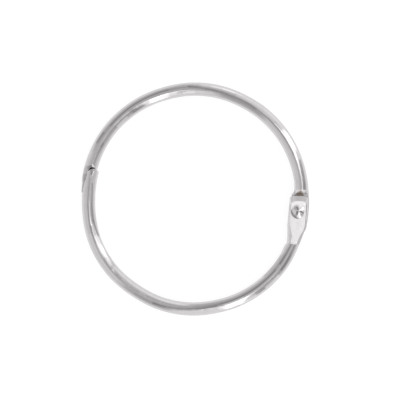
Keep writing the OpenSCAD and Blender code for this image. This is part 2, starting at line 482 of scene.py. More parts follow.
print(f"tongue {TONGUE_T} mm thick, with {(SLOT_T - TONGUE_T) / 2:.2f} mm of play on each side")

# %% [markdown]
# ### The rivet
# A shank with a low plain head below and a domed one above, where the peening tool has left three
# short dents. Paint wouldn't catch the light as a hollow does, so each dent is a short round bar
# laid along the dome and taken out of it.
# %% The rivet's sizes
SHANK_R, SHANK_REACH = 0.745, 1.3
HEAD_R = 1.175
HEAD_SEAT = FORK_T / 2 + 0.012
HEAD_TOP = min(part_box("hinge_rivet")[1].z / MM, FORK_T / 2 + 0.45)
DOME_RISE = HEAD_TOP - HEAD_SEAT - 0.1
DOME_R = (DOME_RISE**2 + HEAD_R**2) / (2 * DOME_RISE)
FOOT_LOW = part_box("hinge_rivet")[0].z / MM
FOOT_RIM = -FORK_T / 2 - 0.1
# The plain head's cone: its rise, its run and its slant.
CONE_RISE, CONE_RUN, CONE_SLANT = 0.26, 0.475, 0.5415
# The head was peened a little to one side of the hole.
HEAD_X, HEAD_Y = PIN_X - 0.1, PIN_Y + 0.08
# Each dent runs from one place on the head to another.
DENTS = [
    ((-0.2, 0.42), (-0.27, 0.66)),
    ((-0.26, -0.12), (-0.33, -0.4)),
    ((0.42, -0.03), (0.78, -0.28)),
]
DENT_R = 0.22


# %% The rivet as a distance
def bar(x, y, z, a, b, radius):
    """A round bar from a to b."""
    dx, dy, dz = x - a[0], y - a[1], z - a[2]
    run_x, run_y, run_z = (end - start for start, end in zip(a, b))
    t = (dx * run_x + dy * run_y + dz * run_z) / (run_x**2 + run_y**2 + run_z**2)
    t = np.clip(t, 0, 1)
    return np.sqrt((dx - t * run_x) ** 2 + (dy - t * run_y) ** 2 + (dz - t * run_z) ** 2) - radius


def over_dome(at):
    """A little above the dome, over a place on the head."""
    return (*at, HEAD_TOP - DOME_R + math.sqrt(DOME_R**2 - at[0] ** 2 - at[1] ** 2) + 0.1)


def rivet_shape(x, y, z):
    out = np.hypot(x - PIN_X, y - PIN_Y)
    shank = meet(out - SHANK_R, np.abs(z) - SHANK_REACH, 0.05)
    dx, dy = x - HEAD_X, y - HEAD_Y
    away = np.hypot(dx, dy)
    dome = np.sqrt(away**2 + (z - HEAD_TOP + DOME_R) ** 2) - DOME_R
    head = meet(meet(dome, away - HEAD_R, 0.12), HEAD_SEAT - z, 0.05)
    for near, far in DENTS:
        head = cut(head, bar(dx, dy, z, over_dome(near), over_dome(far), DENT_R), 0.08)
    cone = ((out - HEAD_R) * CONE_RISE + (FOOT_RIM - z) * CONE_RUN) / CONE_SLANT
    foot = meet(meet(cone, out - HEAD_R, 0.06), FOOT_LOW - z, 0.06)
    foot = meet(foot, z + HEAD_SEAT, 0.05)
    return weld(np.minimum(head, foot), shank, 0.04)


print(f"rivet head {2 * HEAD_R:.2f} mm across, {HEAD_TOP - HEAD_SEAT:.2f} mm high")

# %% [markdown]
# ## A skin over a shape
# Blender draws faces, so a distance has to get a skin. The space round an end is divided into small
# cells that follow the wire. Each cell that the surface passes through gets one corner, which is
# pulled onto the surface, and four neighbouring corners make a face. Their normals come from the
# distance itself, so the reflections run clean across the edges.
# %% Laying a skin
PULLS = 6
LONGEST_PULL = 0.02
LEAST_STEEP = 0.05


def slopes(shape, p, h=0.0015):
    steps = np.eye(3) * h
    return np.stack([shape(*(p + s).T) - shape(*(p - s).T) for s in steps], 1) / (2 * h)


def pull_on(shape, points):
    """Move points onto the surface, a little at a time."""
    for _ in range(PULLS):
        grad = slopes(shape, points)
        steepness = np.maximum((grad**2).sum(1), LEAST_STEEP)[:, None]
        step = shape(*points.T)[:, None] * grad / steepness
        points -= np.clip(step, -LONGEST_PULL, LONGEST_PULL)


def skin(shape, place, a, b, c):
    """Corners and four-sided faces of a shape, on the cells between the lines a, b and c."""
    grid = np.stack(place(*np.meshgrid(a, b, c, indexing="ij")), -1)
    value = shape(grid[..., 0], grid[..., 1], grid[..., 2])
    cells = tuple(n - 1 for n in value.shape)
    total, count = np.zeros((*cells, 3)), np.zeros(cells)
    crossings = []
    for axis in range(3):
        low = [slice(None)] * 3
        high = [slice(None)] * 3
        low[axis], high[axis] = slice(None, -1), slice(1, None)
        v0, v1 = value[tuple(low)], value[tuple(high)]
        at = np.argwhere((v0 < 0) != (v1 < 0))
        i = tuple(at.T)
        t = (v0[i] / (v0[i] - v1[i]))[:, None]
        point = grid[tuple(low)][i] * (1 - t) + grid[tuple(high)][i] * t
        others = [n for n in range(3) if n != axis]
        around = []
        for du, dv in ((0, 0), (-1, 0), (-1, -1), (0, -1)):
            cell = at.copy()
            cell[:, others[0]] += du
            cell[:, others[1]] += dv
            good = np.all((cell >= 0) & (cell < cells), 1)
            np.add.at(total, tuple(cell[good].T), point[good])
            np.add.at(count, tuple(cell[good].T), 1)
            around.append((cell, good))
        flip = (v0[i] < 0) == (axis == 1)
        crossings.append((around, flip))
    index = np.full(cells, -1)
    used = count > 0
    index[used] = np.arange(used.sum())
    points = total[used] / count[used][:, None]
    pull_on(shape, points)
    faces = []
    for around, flip in crossings:
        good = np.all([g for _, g in around], 0)
        quad = np.stack([index[tuple(cell[good].T)] for cell, _ in around], 1)
        quad[flip[good]] = quad[flip[good]][:, ::-1]
        faces.append(quad)
    return points, [tuple(f) for f in np.concatenate(faces)]


# %% Cells that follow the wire
def round_arc(height):
    """Places from an angle in degrees, a distance off the centre line, and a height."""
    def place(turn, off, z):
        t = np.radians(turn)
        return (ARC_R + off) * np.cos(t), height + (ARC_R + off) * np.sin(t), z
    return place


def lines(low, high, step):
    return np.linspace(low, high, max(2, round((high - low) / step)) + 1)


# %% [markdown]
# ## Joining wire and ends
# Each half is three lengths: a pressed end, the rolled wire, and the other end. Their open rims lie
# on the same round wire a hair apart, so they are laced together with triangles, in the order in
# which their corners come round the wire. A Boolean would join them too, but it leaves slivers, and
# in a polished surface those show as scratches.
# %% Lacing the lengths together
def open_rim(faces):
    count = {}
    for face in faces:
        for a, b in zip(face, face[1:] + face[:1]):
            key = (min(a, b), max(a, b))
            count[key] = count.get(key, 0) + 1
    return {v for key, n in count.items() if n == 1 for v in key}


def lace(points, first, second, height):
    """Triangles between two rims, given as lists of corners."""
    def around(rim):
        p = points[rim]
        turn = np.arctan2(p[:, 2], np.hypot(p[:, 0], p[:, 1] - height) - ARC_R)
        order = np.argsort(turn)
        return np.array(rim)[order], turn[order]

    a, ta = around(first)
    b, tb = around(second)
    i = j = 0
    triangles = []
    while i < len(a) or j < len(b):
        next_a = ta[(i + 1) % len(a)] + (2 * math.pi if i + 1 >= len(a) else 0)
        next_b = tb[(j + 1) % len(b)] + (2 * math.pi if j + 1 >= len(b) else 0)
        if j >= len(b) or (i < len(a) and next_a <= next_b):
            triangles.append((a[i % len(a)], a[(i + 1) % len(a)], b[j % len(b)]))
            i += 1
        else:
            triangles.append((a[i % len(a)], b[(j + 1) % len(b)], b[j % len(b)]))
            j += 1
    return triangles


# %% From corners to a piece
# Wear is where the surface bends: measured over this span, from this bend, over this range.
WEAR_SPAN, WEAR_FROM, WEAR_RANGE = 0.04, 1.5, 8


def mark_wear(mesh, shape, points):
    """Edges that stick out are where the plating has worn: an attribute for the materials."""
    steps = np.eye(3) * WEAR_SPAN
    spread = sum(shape(*(points + s).T) + shape(*(points - s).T) for s in steps)
    bend = (spread - 6 * shape(*points.T)) / WEAR_SPAN**2
    worn = mesh.attributes.new("worn", "FLOAT", "POINT")
    amount = np.clip((bend - WEAR_FROM) / WEAR_RANGE, 0, 1)
    worn.data.foreach_set("value", amount.astype(np.float32))


def finish_mesh(name, points, faces, shape, finish):
    mesh = bpy.data.meshes.new(name)
    mesh.from_pydata((points * MM).tolist(), [], [tuple(int(v) for v in f) for f in faces])
    work = bmesh.new()
    work.from_mesh(mesh)
    bmesh.ops.recalc_face_normals(work, faces=work.faces)
    loose = sum(1 for e in work.edges if len(e.link_faces) != 2)
    work.to_mesh(mesh)
    work.free()
    mesh.update()
    mark_wear(mesh, shape, points)
    normals = slopes(shape, points)
    normals /= np.linalg.norm(normals, axis=1)[:, None]
    mesh.shade_smooth()
    mesh.normals_split_custom_set_from_vertices(normals.tolist())
    piece = bpy.data.objects.new(name, mesh)
    scene.collection.objects.link(piece)
    mesh.materials.append(finish)
    triangles = sum(len(p.vertices) - 2 for p in mesh.polygons)
    print(f"{name}: {len(points)} corners, {triangles} triangles, {loose} edges without two faces")
    return piece


# %% Putting a half together
STEP_TURN = 0.7
STEPS_AROUND = 96
RIM_REACH = 1.5


def make_half(half, wire, ends, shape, finish):
    """wire: where the rolled length starts and stops, in degrees. ends: for each pressed end, its
    shape, the angle where it meets the wire, and its cell lines."""
    height = HALVES[half][0]
    start, stop = wire
    points, faces = bend_wire(
        half + "_half_wire",
        WAVERS[half],
        {
            "Arc radius": ARC_R * MM,
            "Centre height": height * MM,
            "Wire radius": WIRE_R * MM,
            "From": math.radians(start),
            "Sweep": math.radians(stop - start),
            "Steps along": int((stop - start) / STEP_TURN),
            "Steps around": STEPS_AROUND,
            "Finish": finish,
        },
    )
    rims = sorted(open_rim(faces))
    middle = np.array([points[v] for v in rims])
    turn = np.degrees(np.arctan2(middle[:, 1] - height, middle[:, 0]))
    for end, at, cells in ends:
        near = [v for v, t in zip(rims, turn) if abs((t - at + 180) % 360 - 180) < RIM_REACH]
        more, more_faces = skin(end, round_arc(height), *cells)
        base = len(points)
        points = np.concatenate([points, more])
        faces += [tuple(v + base for v in f) for f in more_faces]
        rim = sorted(v + base for v in open_rim(more_faces))
        faces += lace(points, near, rim, height)
        print(f"  laced {len(near)} corners to {len(rim)}")
    return finish_mesh(half + "_half", points, faces, shape, finish)


# %% [markdown]
# ## Nickel plate
# The plating is bright but not a mirror: drawing the wire left fine lines along it, rolling left
# faint ripples, and handling left smudges and a few pits. A metal's colour is its reflection, so
# the colour varies only a little, and most of the life comes from roughness and bump.
# %% Nickel's colours
NICKEL = (0.645, 0.625, 0.635, 1)
# Duller nickel, for random dull patches and for painted shade on the fork's inner flank.
DULL_AND_SHADED_NICKEL = (0.555, 0.54, 0.547, 1)
# Paler nickel, for worn edges and for painted light on the fork's outer flank and bevel.
WORN_AND_LIT_NICKEL = (0.76, 0.745, 0.755, 1)
# Bright nickel, for the struck flats and for painted highlights.
PRESSED_AND_HIGHLIGHT = (0.96, 0.945, 0.95, 1)
# Brightest nickel, for painted glints on the fork's flats.
GLINT_NICKEL = (1.0, 0.985, 0.99, 1)
SHADED_NICKEL = (0.46, 0.44, 0.455, 1)
LIP_SHADE = (0.34, 0.325, 0.335, 1)
# A brown stain deepened by painted shade, for the tongue's mouth.
TARNISH_AND_SHADE = (0.45, 0.385, 0.34, 1)
# Near black, used only for painted shade: dark reflection lines, creases, the crevice and the
# rivet's shadow.
PAINTED_SHADE = (0.028, 0.026, 0.026, 1)


# %% Nodes that every finish needs
def noise(bench, vector, scale, detail=2.0, rough=0.5):
    return bench.node(
        "ShaderNodeTexNoise",
        {"noise_dimensions": "3D"},
        {"Vector": vector, "Scale": scale, "Detail": detail, "Roughness": rough},
    )


def tint(bench, amount, first, second):
    """The first colour, turned into the second by an amount."""
    sockets = {0: amount, 6: first, 7: second}
    return bench.node("ShaderNodeMix", {"data_type": "RGBA"}, sockets, out=2)


def bumps(bench, *layers):
    """A normal from layers of height. Each has its strength, and its depth in millimetres."""
    normal = None
    for height, strength, depth in layers:
        sockets = {"Height": height, "Strength": strength, "Distance": depth * MM}
        if normal is not None:
            sockets["Normal"] = normal
        normal = bench.node("ShaderNodeBump", None, sockets)
    return normal


def near_line(x, y, a, b):
    """How far a place is from the line between a and b."""
    run_x, run_y = b[0] - a[0], b[1] - a[1]
    dx, dy = x - a[0], y - a[1]
    t = ((dx * run_x + dy * run_y) / (run_x**2 + run_y**2)).at_least(0.0).at_most(1.0)
    dx, dy = dx - t * run_x, dy - t * run_y
    return (dx * dx + dy * dy).root()


def cleared(owner):
    """A bench on a material's or a world's own tree, with nothing on it yet."""
    owner.use_nodes = True
    owner.node_tree.nodes.clear()
    return Bench(owner.node_tree)


def metal(name):
    """A bare material, its bench, and the place on the piece in millimetres."""
    material = bpy.data.materials.new(name)
    bench = cleared(material)
    place = bench.node("ShaderNodeTexCoord", out="Object")
    scaled = {0: place, "Scale": 1 / MM}
    return material, bench, bench.node("ShaderNodeVectorMath", {"operation": "SCALE"}, scaled)


def cover(bench, colour, roughness, normal):
    shader = bench.node(
        "ShaderNodeBsdfPrincipled",
        None,
        {"Base Color": colour, "Metallic": 1.0, "Roughness": roughness, "Normal": normal},
    )
    bench.node("ShaderNodeOutputMaterial", None, {"Surface": shader})


# %% [markdown]
# ### Streaks along the wire
# Drawn wire has long streaks. Noise stretched along it gives the fine ones. The broad ones, dark
# and bright, are placed one by one: they are painted reflections, the dark ones painted shade and
# the bright ones painted highlights. As part of the material, they stay put when the light or the
# camera moves.
# %% Where the painted reflection lines run
# Angle and distance off the centre line at both ends, half width, and depth. A depth above zero
# paints shade, and one below zero paints a highlight.
PAINTED_REFLECTIONS = {}
PAINTED_REFLECTIONS["lower"] = [
    (167.4, -0.24, 176, -0.32, 0.18, 0.25),
    (168.8, 0.85, 175, 0.84, 0.16, 0.4),
    (170, -0.74, 175, -0.94, 0.2, 0.42),
    (175, -0.94, 190, -0.9, 0.2, 0.42),
    (176, -0.32, 198, -0.07, 0.18, 0.25),
    (190, -0.9, 199.5, -1.0, 0.24, 0.52),
    (192.5, -0.58, 197.5, -0.66, 0.26, -0.5),
    (193.5, -0.28, 213, -0.29, 0.34, 0.5),
    (199, -0.68, 208.5, -0.76, 0.44, -0.85),
    (198, 0.2, 236, 0.3, 0.42, -0.3),
    (212.5, -0.66, 218.5, -0.78, 0.36, 0.28),
    (213, -0.22, 219, -0.22, 0.45, 0.38),
    (219, -0.22, 226, -0.2, 0.4, 0.24),
    (226, -0.2, 238, -0.3, 0.35, 0.13),
    (243, -0.4, 266, -0.42, 0.22, 0.2),
    (248, 0.28, 260, 0.08, 0.38, 0.38),
    (260, 0.08, 282, -0.25, 0.38, 0.42),
    (275, 0.08, 286, 0.12, 0.32, 0.4),
    (283, -0.38, 320, -0.38, 0.23, 0.33),
    (286, -0.12, 297, -0.1, 0.2, -0.6),
    (294.5, 0.64, 303, 0.56, 0.4, -1.0),
    (300.5, 0.15, 308, 0.16, 0.24, 0.32),
    (305, 0.14, 316, 0.16, 0.2, 0.2),
    (305.5, 0.68, 309, 0.66, 0.3, 0.2),
    (310, 0.6, 318.5, 0.66, 0.36, -0.8),
    (313, -1.02, 328, -1.02, 0.2, 0.25),
    (322, 0.45, 336.2, 0.28, 0.38, 0.32),
    (324, -0.4, 336, -0.44, 0.3, 0.38),
]
PAINTED_REFLECTIONS["upper"] = [
    (3, 0.42, 10, 0.58, 0.3, 0.34),
    (3.5, 0.2, 10, 0.2, 0.18, 0.35),
    (9, 0.2, 19, 0.22, 0.24, 0.32),
    (10, 0.58, 19, 0.66, 0.3, 0.45),
    (10.5, 0.4, 17, 0.46, 0.28, 0.38),
    (23, -0.05, 55, -0.12, 0.2, 0.27),
    (44, 0.32, 67, 0.28, 0.38, -0.35),
    (55, -0.14, 72, -0.16, 0.34, 0.4),
    (65, 0.58, 81, 0.6, 0.25, -0.28),
    (69, 0.58, 75, 0.6, 0.26, -0.62),
    (72, -0.14, 84, 0.05, 0.38, 0.45),
    (80, -0.17, 96, -0.14, 0.27, 0.32),
    (84, 0.05, 93, 0.4, 0.34, 0.34),
    (90, -0.64, 96, -0.66, 0.25, -0.45),
    (95, -0.3, 104, -0.35, 0.42, 0.33),
    (102, -0.42, 108, -0.62, 0.36, 0.26),
    (104, 0.38, 140, 0.35, 0.24, 0.28),
    (109, -0.16, 116, -0.18, 0.22, 0.32),
    (115.5, -0.3, 127, -0.22, 0.38, 0.42),
    (119, -0.6, 126, -0.66, 0.25, 0.4),
    (127, -0.2, 134, -0.2, 0.3, 0.2),
    (130.5, -0.62, 137.5, -0.64, 0.3, -0.85),
    (145, 0.6, 151, 0.66, 0.3, 0.32),
    (150, -0.4, 163, -0.45, 0.35, 0.28),
    (171.5, 0.72, 176, 0.77, 0.16, 0.4),
]
print("broad lines:", {half: len(listed) for half, listed in PAINTED_REFLECTIONS.items()})


# %% Painting the reflection lines
def paint_reflections(bench, half, along, off, colour):
    _, side, top = HALVES[half]
    dark_reflection = bright_reflection = 0.0
    for at, off_at, to, off_to, half_width, depth in PAINTED_REFLECTIONS[half]:
        start, stop = (math.radians((top - turn) * side) * ARC_R for turn in (at, to))
        line = near_line(along, off, (start, off_at), (stop, off_to))
        line = line.rise(half_width, 0.0) * abs(depth)
        if depth > 0:
            dark_reflection = line.at_least(dark_reflection)
        else:
            bright_reflection = line.at_least(bright_reflection)
    # Bright lines are painted highlights, and dark lines are painted shade.
    colour = tint(bench, bright_reflection, colour, PRESSED_AND_HIGHLIGHT)
    return tint(bench, dark_reflection, colour, PAINTED_SHADE)


# %% [markdown]
# ### The struck fork
# A press leaves its own surface: dull grained flats. On the fork lies painted light too: painted
# shade on the flanks with a painted light line, bevels painted bright on their inner side, painted
# glints on the flats, and a painted shadow beside the rivet's head. Each is a mask made from where
# a place lies on the fork, so one material serves the wire and its end.
# %% Places with a mark of their own
# The two painted glints at the flats' far end.
HEEL_GLINTS = [((17.5, -7.62), (17.5, -7.6)), ((18.02, -7.62), (18.02, -7.7))]
# Painted shade and a painted highlight on top of the nose: a line, how far off it the mark ends and
# is full, its share and colour.
NOSE_PAINTED_LIGHT = [
    ((-18.26, 4.8), (-18.34, 4.38), 0.26, 0.05, 0.5, PAINTED_SHADE),
    ((-18.5, 5.15), (-18.05, 5.32), 0.36, 0.1, 0.28, PAINTED_SHADE),
    ((-17.93, 4.95), (-18.2, 4.2), 0.16, 0.04, 1.0, PRESSED_AND_HIGHLIGHT),
]


# %% Flanks, bevels and flats
def fork_flanks(bench, x, y, z, side, colour):
    px, py = pin_frame(x, y)
    # Painted shade: the flanks are darker on the outer side, and the inner flank is darker from
    # just behind the pin on.
    flank_colour = tint(bench, px.rise(-1.2, 0.9), NICKEL, SHADED_NICKEL)
    colour = tint(bench, side * 0.9, colour, flank_colour)
    inner_shade = py.rise(-0.9, 0.3) * px.rise(0.0, -0.5) * 0.8
    colour = tint(bench, side * inner_shade, colour, DULL_AND_SHADED_NICKEL)
    # A painted light line along the outer flank.
    lit_band = px.rise(0.8, 1.2) * z.size().rise(0.8, 0.88) * z.size().rise(1.03, 0.96)
    lit_band = lit_band * py.rise(-1.6, -1.0)
    return tint(bench, side * lit_band, colour, WORN_AND_LIT_NICKEL)


def fork_bevels(bench, x, y, z, side, colour, rough):
    px, py = pin_frame(x, y)
    bevel = py.rise(1.2, 1.6) * z.size().rise(0.7, 0.8) * px.rise(1.45, 1.15) * side
    # Painted light on the bevels: brightest on the inner side and the wire's own colour on the
    # outer, with the inner edge toned down a little.
    colour = tint(bench, bevel, colour, tint(bench, px.rise(-1.7, -0.1), PRESSED_AND_HIGHLIGHT, NICKEL))
    colour = tint(bench, bevel * px.rise(-1.3, -1.5), colour, WORN_AND_LIT_NICKEL)
    return colour, rough + bevel * 0.15


def fork_flats(bench, x, y, z, flat, colour, rough):
    px, py = pin_frame(x, y)
    die_grain = noise(bench, bench.join(px * 6.0, py * 1.2, z), 2.0, 3.0)
    struck = tint(bench, die_grain.rise(0.35, 0.75) * 0.15, PRESSED_AND_HIGHLIGHT, NICKEL)
    colour = tint(bench, flat, colour, struck)
    rough = rough + flat * (0.4 + die_grain * 0.1)
    # Painted highlights: the flats are painted brighter towards the ears' ends and the outer edge,
    # and at two glints at their far end.
    tips = py.rise(0.7, 1.2).at_least(px.rise(0.85, 1.05) * py.rise(-0.6, 0.4))
    painted_glints = tips * flat * z.rise(0.0, 1.0)
    first, second = (near_line(x, y, *glint) for glint in HEEL_GLINTS)
    painted_glints = painted_glints.at_least(first.at_most(second).rise(0.2, 0.08) * flat)
    colour = tint(bench, painted_glints, colour, GLINT_NICKEL)
    rough = rough + painted_glints * 0.25
    # A painted shadow on the flat, in a ring round the rivet's head on its lower left side.
    dx, dy = x - HEAD_X, y - HEAD_Y
    out = (dx * dx + dy * dy).root()
    lee = (dx * -0.8 + dy * -0.6) / out.at_least(0.1)
    rivet_shadow = out.rise(HEAD_R - 0.05, HEAD_R + 0.02) * out.rise(HEAD_R + 0.26, HEAD_R + 0.04)
    return tint(bench, rivet_shadow * lee.rise(0.45, 0.8) * flat * 0.8, colour, PAINTED_SHADE), rough


def fork_finish(bench, x, y, z, colour, rough):
    _, py = pin_frame(x, y)
    fork = py.rise(-HEEL - 0.25, -HEEL - 0.1) * x.rise(0.0, 1.0)
    level = z.size() + (DIP_FROM - py).at_least(0.0) * DIP_SLOPE
    flat = level.rise(FORK_T / 2 - 0.05, FORK_T / 2 - 0.01) * fork
    side = fork * (1 - flat)
    colour = fork_flanks(bench, x, y, z, side, colour)
    colour, rough = fork_bevels(bench, x, y, z, side, colour, rough + side * 0.1)
    return fork_flats(bench, x, y, z, flat, colour, rough)


def paint_nose_light(bench, x, y, z, colour):
    for start, stop, end, full, share, mark_colour in NOSE_PAINTED_LIGHT:
        # Each mark paints shade or a highlight.
        mark = near_line(x, y, start, stop).rise(end, full) * z.rise(0.5, 0.8)
        colour = tint(bench, mark * share, colour, mark_colour)
    return colour


# %% [markdown]
# ### The tongue's mouth, the lip and the crevice
# Where the tongue runs into the fork, plating solution dried and left a brown stain, deepened there
# by painted shade, under a struck edge with a painted highlight. At the other end the lip carries
# painted shade, with one painted glint at its tip, and the crevice between lip and nose is painted
# near black as shade.
# %% The upper half's ends, and the crevice
def tongue_finish(bench, x, y, z, colour, rough):
    up = y - PIN_Y
    from_middle = (x - PIN_X - 0.1 - (up - SHOULDER_FOOT) * 0.28).size()
    deep = 0.45 + z.size().rise(0.3, 0.39) * 0.55
    mouth = (from_middle + up * 0.8).rise(3.45, 2.95) * x.rise(0.0, 1.0) * deep
    # A brown stain in the mouth, deepened by painted shade.
    colour = tint(bench, mouth, colour, TARNISH_AND_SHADE)
    # Painted shade at the foot of the mouth.
    low = up.rise(SHOULDER_FOOT + 0.15, SHOULDER_FOOT - 0.05)
    colour = tint(bench, mouth * low * 0.45, colour, PAINTED_SHADE)
    struck = up.rise(SHOULDER_FOOT - 0.02, SHOULDER_FOOT + 0.04) * up.rise(4.0, 3.8)
    struck = struck * x.rise(0.0, 1.0)
    # A painted highlight along the struck edge.
    edge = struck * (1 - mouth) * from_middle.rise(0.95, 0.7) * 0.7
    return tint(bench, edge, colour, PRESSED_AND_HIGHLIGHT), rough + struck * 0.4


def lip_finish(bench, x, y, z, colour):
    # Painted shade on the lip's face and cheek and beside the crescent, and a painted glint at its
    # tip.
    upward = z.rise(0.1, 0.8)
    face = y.rise(4.95, 4.35) * y.rise(2.8, 3.4) * x.rise(-18.0, -18.6) * upward
    shade = near_line(x, y, (-18.84, 5.6), (-18.5, 5.8)).rise(0.42, 0.1) * upward
    cheek = y.rise(6.3, 5.7) * y.rise(4.6, 4.9) * x.rise(-18.8, -19.1) * upward
    colour = tint(bench, cheek * 0.7, colour, SHADED_NICKEL)
    colour = tint(bench, (face * 0.8).at_least(shade), colour, LIP_SHADE)
    glint = near_line(x, y, (-18.15, 6.08), (-17.98, 5.76)).rise(0.2, 0.08)
    return tint(bench, glint, colour, PRESSED_AND_HIGHLIGHT)


def in_crevice(x, y, z):
    """1 in the crevice between the nose's crown and the lip, and 0 elsewhere."""
    nx, ny = nose_frame(x, y)
    ex = nx - NOSE_INSET
    crown = (ex * ex + ny * ny).root()
    mask = crown.rise(NOSE_R - 0.11, NOSE_R - 0.04) * crown.rise(NOSE_R + 0.32, NOSE_R + 0.28)
    mask = mask * ny.rise(0.3, 0.7) * nx.rise(0.6, 0.15) * x.rise(0.0, -1.0) * z.rise(1.08, 0.95)
    return mask * (z.rise(-0.3, 0.0) * 0.3 + 0.7)


# %% [markdown]
# ### The wire's whole finish
# Both halves share one recipe. The plain wire comes first, then the painted reflection lines, then
# what the press did to the ends with their painted light and shade, and the bumps last. It could be
# one material for both, but each half counts its length from its own centre, so that no break in
# the count crosses the metal.
# %% The wire's finish
def nickel_wire(half):
    height, side, _ = HALVES[half]
    material, bench, place = metal("nickel_" + half)
    x, y, z = bench.split(place)
    dy = y - height
    off = (x * x + dy * dy).root() - ARC_R
    along = x.math("ARCTAN2", x, dy * side) * ARC_R

    def streaks(stretch, *settings):
        return noise(bench, bench.join(along * stretch, off, z), *settings)

    lines_fine = streaks(0.1, 9.0, 3.0, 0.6)
    lines_broad = streaks(0.05, 3.6, 2.0)
    ripple = streaks(0.45, 0.9, 1.0)
    smudge = noise(bench, place, 0.55, 3.0, 0.6)
    pits = noise(bench, place, 7.0, 1.0).rise(0.70, 0.76)
    worn = bench.node("ShaderNodeAttribute", {"attribute_name": "worn"}, out="Fac")
    dulled = smudge.rise(0.4, 0.75) * 0.4 + lines_broad.rise(0.5, 0.75) * 0.5
    colour = tint(bench, dulled, NICKEL, DULL_AND_SHADED_NICKEL)
    colour = tint(bench, worn * 0.5, colour, WORN_AND_LIT_NICKEL)
    colour = paint_reflections(bench, half, along, off, colour)
    rough = 0.09 + smudge.rise(0.4, 0.8) * 0.09 + lines_fine * 0.05 + pits * 0.2
    if half == "lower":
        colour, rough = fork_finish(bench, x, y, z, colour, rough)
        colour = paint_nose_light(bench, x, y, z, colour)
    else:
        colour, rough = tongue_finish(bench, x, y, z, colour, rough)
        colour = lip_finish(bench, x, y, z, colour)
    # Painted shade: the crevice between nose and lip is painted near black, and made rougher.
    crevice_shade = in_crevice(x, y, z)
    colour = tint(bench, crevice_shade, colour, PAINTED_SHADE)
    rough = rough + crevice_shade * 0.6
    normal = bumps(
        bench,
        (ripple, 0.25, 0.12),
        (lines_broad, 0.5, 0.02),
        (lines_fine, 0.12, 0.02),
        (pits, 0.25, -0.01),
    )
    cover(bench, colour, rough, normal)
    return material


lower_finish = nickel_wire("lower")
upper_finish = nickel_wire("upper")
for made in (lower_finish, upper_finish):
    print(f"{made.name}: {len(made.node_tree.nodes)} nodes")

# %% [markdown]
# ### The rivet's steel
# The rivet is bare steel, turned on a lathe and hammered over. Turning left faint rings. Painted
# highlights lie on parts of the rivet, and painted shade on its rim's lower left and in the dents.
# Rings that follow the distance from the rivet's middle fit the head and the foot alike.
# %% The rivet's finish
RIVET_STEEL = (0.70, 0.68, 0.69, 1)
DULL_STEEL = (0.60, 0.58, 0.59, 1)
WORN_STEEL = (0.85, 0.83, 0.84, 1)
LIT_STEEL = (0.92, 0.90, 0.91, 1)
# Painted shade for the rim's lower left.
SHADED_RIM_STEEL = (0.22, 0.205, 0.215, 1)
# Painted shade for the dents.
SHADED_DENT_STEEL = (0.29, 0.275, 0.285, 1)


def rivet_metal(name):
    material, bench, place = metal(name)
    x, y, z = bench.split(place)
    dx, dy = x - HEAD_X, y - HEAD_Y
    out = (dx * dx + dy * dy).root()
    dents = 0.0
    for near, far in DENTS:
        dents = near_line(dx, dy, near, far).rise(0.27, 0.13).at_least(dents)
    dents = dents * z.rise(1.0, 1.1)
    smudge = noise(bench, place, 1.4, 3.0, 0.6)
    turned = noise(bench, bench.join(out * 9.0, z * 9.0, 0.0), 2.0, 2.0)
    worn = bench.node("ShaderNodeAttribute", {"attribute_name": "worn"}, out="Fac")
    colour = tint(bench, smudge.rise(0.4, 0.8) * 0.5, RIVET_STEEL, DULL_STEEL)
    colour = tint(bench, worn * 0.3, colour, WORN_STEEL)
    # Painted highlights, placed by position round the rivet's middle.
    lit = (dx + dy * 0.8).rise(0.1, 0.6).at_least(dx.rise(-0.35, -0.6) * 0.25)
    lit = lit.at_least((dx * 0.4 - dy).rise(0.4, 0.7) * 0.5)
    colour = tint(bench, lit, colour, LIT_STEEL)
    # Painted shade on the lower left of the rivet.
    rim = (dx * -0.8 + dy * -0.6).rise(0.7, 1.05)
    colour = tint(bench, rim * 0.55, colour, SHADED_RIM_STEEL)
    # Painted shade in the dents.
    colour = tint(bench, dents * 0.9, colour, SHADED_DENT_STEEL)
    rough = 0.13 + smudge * 0.1 + dents * 0.5
    cover(bench, colour, rough, bumps(bench, (turned, 0.1, 0.02), (smudge, 0.15, 0.08)))
    return material


rivet_finish = rivet_metal("rivet_steel")
print(f"{rivet_finish.name}: {len(rivet_finish.node_tree.nodes)} nodes")

# %% [markdown]
# ## The lower half
# One length of wire, pressed at one end into the fork and rounded at the other into the nose. It
# could be one skin from end to end, but only the pressed metal needs small cells.
# %% The lower half, with the fork and the nose
CELL = 0.06
CELL_TURN = math.degrees(CELL / ARC_R)
NOSE_START, FORK_START = 182.5, 333.0
FORK_CELLS = lines(333.5, 366.0, CELL_TURN), lines(-2.6, 1.43, CELL), lines(-1.253, 1.261, CELL)
NOSE_CELLS = lines(160.0, 182.0, CELL_TURN), lines(-1.63, 1.43, CELL), lines(-1.313, 1.321, CELL)


def lower_shape(x, y, z):
    return np.where(x > 0, fork_shape(x, y, z), nose_shape(x, y, z))


lower = make_half(
    "lower",
    (NOSE_START, FORK_START),
    [(fork_shape, FORK_START, FORK_CELLS), (nose_shape, NOSE_START, NOSE_CELLS)],
    lower_shape,
    lower_finish,
)
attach(lower, "fork_side")
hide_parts("fork_half")

# %% [markdown]
# ## The upper half
# The second length of wire, with the tongue that turns between the fork's ears and the lip that
# covers the nose. It is made as the first is. It turns on the hinge, so it is a piece of its own
# that rides on the other body.
# %% The upper half, with the tongue and the lip
TONGUE_START, LIP_START = 8.0, 158.0
TONGUE_CELLS = lines(-15.0, 7.5, CELL_TURN), lines(-2.5, 1.43, CELL), lines(-1.253, 1.261, CELL)
LIP_CELLS = lines(158.5, 180.0, CELL_TURN), lines(-1.51, 1.43, CELL), lines(-1.313, 1.321, CELL)


